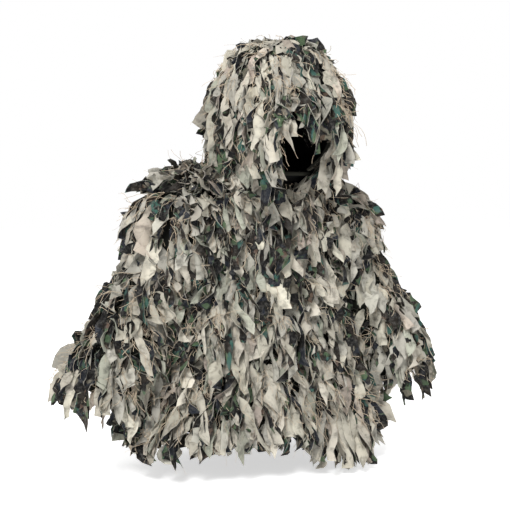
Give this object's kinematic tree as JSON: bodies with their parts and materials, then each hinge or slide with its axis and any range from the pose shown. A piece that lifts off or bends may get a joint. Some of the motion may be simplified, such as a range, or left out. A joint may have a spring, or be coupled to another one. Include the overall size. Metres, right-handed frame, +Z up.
{
  "type": "hooded camouflage jacket",
  "caption": "Hooded, sleeved field jacket whose cloth shell and netting carry dense hanging strips of camouflage cloth, with a front zip.",
  "frame": {"origin": "base of the wearer's neck, in the middle of the neck band's lower edge", "axes": "+Z up, -Y the way the wearer faces, +X the wearer's left"},
  "size_m": [0.9754, 0.4798, 0.9089],
  "materials": {
    "shell_cloth": "dark plain-woven cotton shell",
    "net_cord": "knotted cord netting",
    "strip_cloth": "cut cotton strips, khaki behind and camouflage-printed in front, frayed edges",
    "webbing": "folded cloth tape",
    "zip_tape": "woven zip tape",
    "tooth_plastic": "moulded teeth",
    "dull_metal": "dull coated metal"
  },
  "bodies": {
    "torso": {"back_panel": "shell_cloth", "front_left_panel": "shell_cloth", "front_right_panel": "shell_cloth", "neck_band": "webbing", "hem_tape": "webbing", "hang_loop": "webbing", "back_netting": "net_cord", "front_left_netting": "net_cord", "front_right_netting": "net_cord", "back_strips_row_1": "strip_cloth", "front_left_strips_row_1": "strip_cloth", "front_right_strips_row_1": "strip_cloth", "body_strips_row_2": "strip_cloth", "body_strips_row_3": "strip_cloth", "body_strips_row_4": "strip_cloth", "body_strips_row_5": "strip_cloth", "hem_fringe": "strip_cloth", "zip_tape_left": "zip_tape", "zip_tape_right": "zip_tape", "zip_teeth_left": "tooth_plastic", "zip_teeth_right": "tooth_plastic", "zip_top_stop_left": "dull_metal", "zip_top_stop_right": "dull_metal", "zip_bottom_box": "tooth_plastic"},
    "hood": {"hood_crown_panel": "shell_cloth", "hood_left_panel": "shell_cloth", "hood_right_panel": "shell_cloth", "hood_neck_hem": "webbing", "face_hem": "webbing", "face_eyelet_left": "dull_metal", "face_eyelet_right": "dull_metal", "brow_fringe": "strip_cloth", "hood_netting": "net_cord", "hood_strips_row_1": "strip_cloth", "hood_strips_row_2": "strip_cloth", "hood_strips_row_3": "strip_cloth", "hood_strips_row_4": "strip_cloth"},
    "left_sleeve": {"left_sleeve_head": "shell_cloth", "left_sleeve_shell": "shell_cloth", "left_cuff_band": "webbing", "left_sleeve_netting": "net_cord", "left_shoulder_strips": "strip_cloth", "left_sleeve_strips_row_1": "strip_cloth", "left_sleeve_strips_row_2": "strip_cloth", "left_sleeve_strips_row_3": "strip_cloth", "left_cuff_fringe": "strip_cloth"},
    "right_sleeve": {"right_sleeve_head": "shell_cloth", "right_sleeve_shell": "shell_cloth", "right_cuff_band": "webbing", "right_sleeve_netting": "net_cord", "right_shoulder_strips": "strip_cloth", "right_sleeve_strips_row_1": "strip_cloth", "right_sleeve_strips_row_2": "strip_cloth", "right_sleeve_strips_row_3": "strip_cloth", "right_cuff_fringe": "strip_cloth"},
    "zip_slider": {"zip_slider": "dull_metal"},
    "zip_pull": {"zip_pull": "dull_metal"}
  },
  "joints": [
    {"name": "hood_tip_back", "type": "hinge", "parent": "torso", "child": "hood", "pos_m": [0, 0.047, 0.016], "axis": [-1, 0, 0], "range_deg": [0, 60]},
    {"name": "left_sleeve_raise", "type": "hinge", "parent": "torso", "child": "left_sleeve", "pos_m": [0.198, 0.01, -0.102], "axis": [0, -1, 0], "range_deg": [0, 50]},
    {"name": "right_sleeve_raise", "type": "hinge", "parent": "torso", "child": "right_sleeve", "pos_m": [-0.198, 0.01, -0.102], "axis": [0, 1, 0], "range_deg": [0, 50]},
    {"name": "zip_slide", "type": "slide", "parent": "torso", "child": "zip_slider", "axis": [0, -0.0995, -0.995], "range_m": [0, 0.45]},
    {"name": "zip_pull_flip", "type": "hinge", "parent": "zip_slider", "child": "zip_pull", "pos_m": [0, -0.09186, -0.02325], "axis": [-1, 0, 0], "range_deg": [0, 150]}
  ]
}
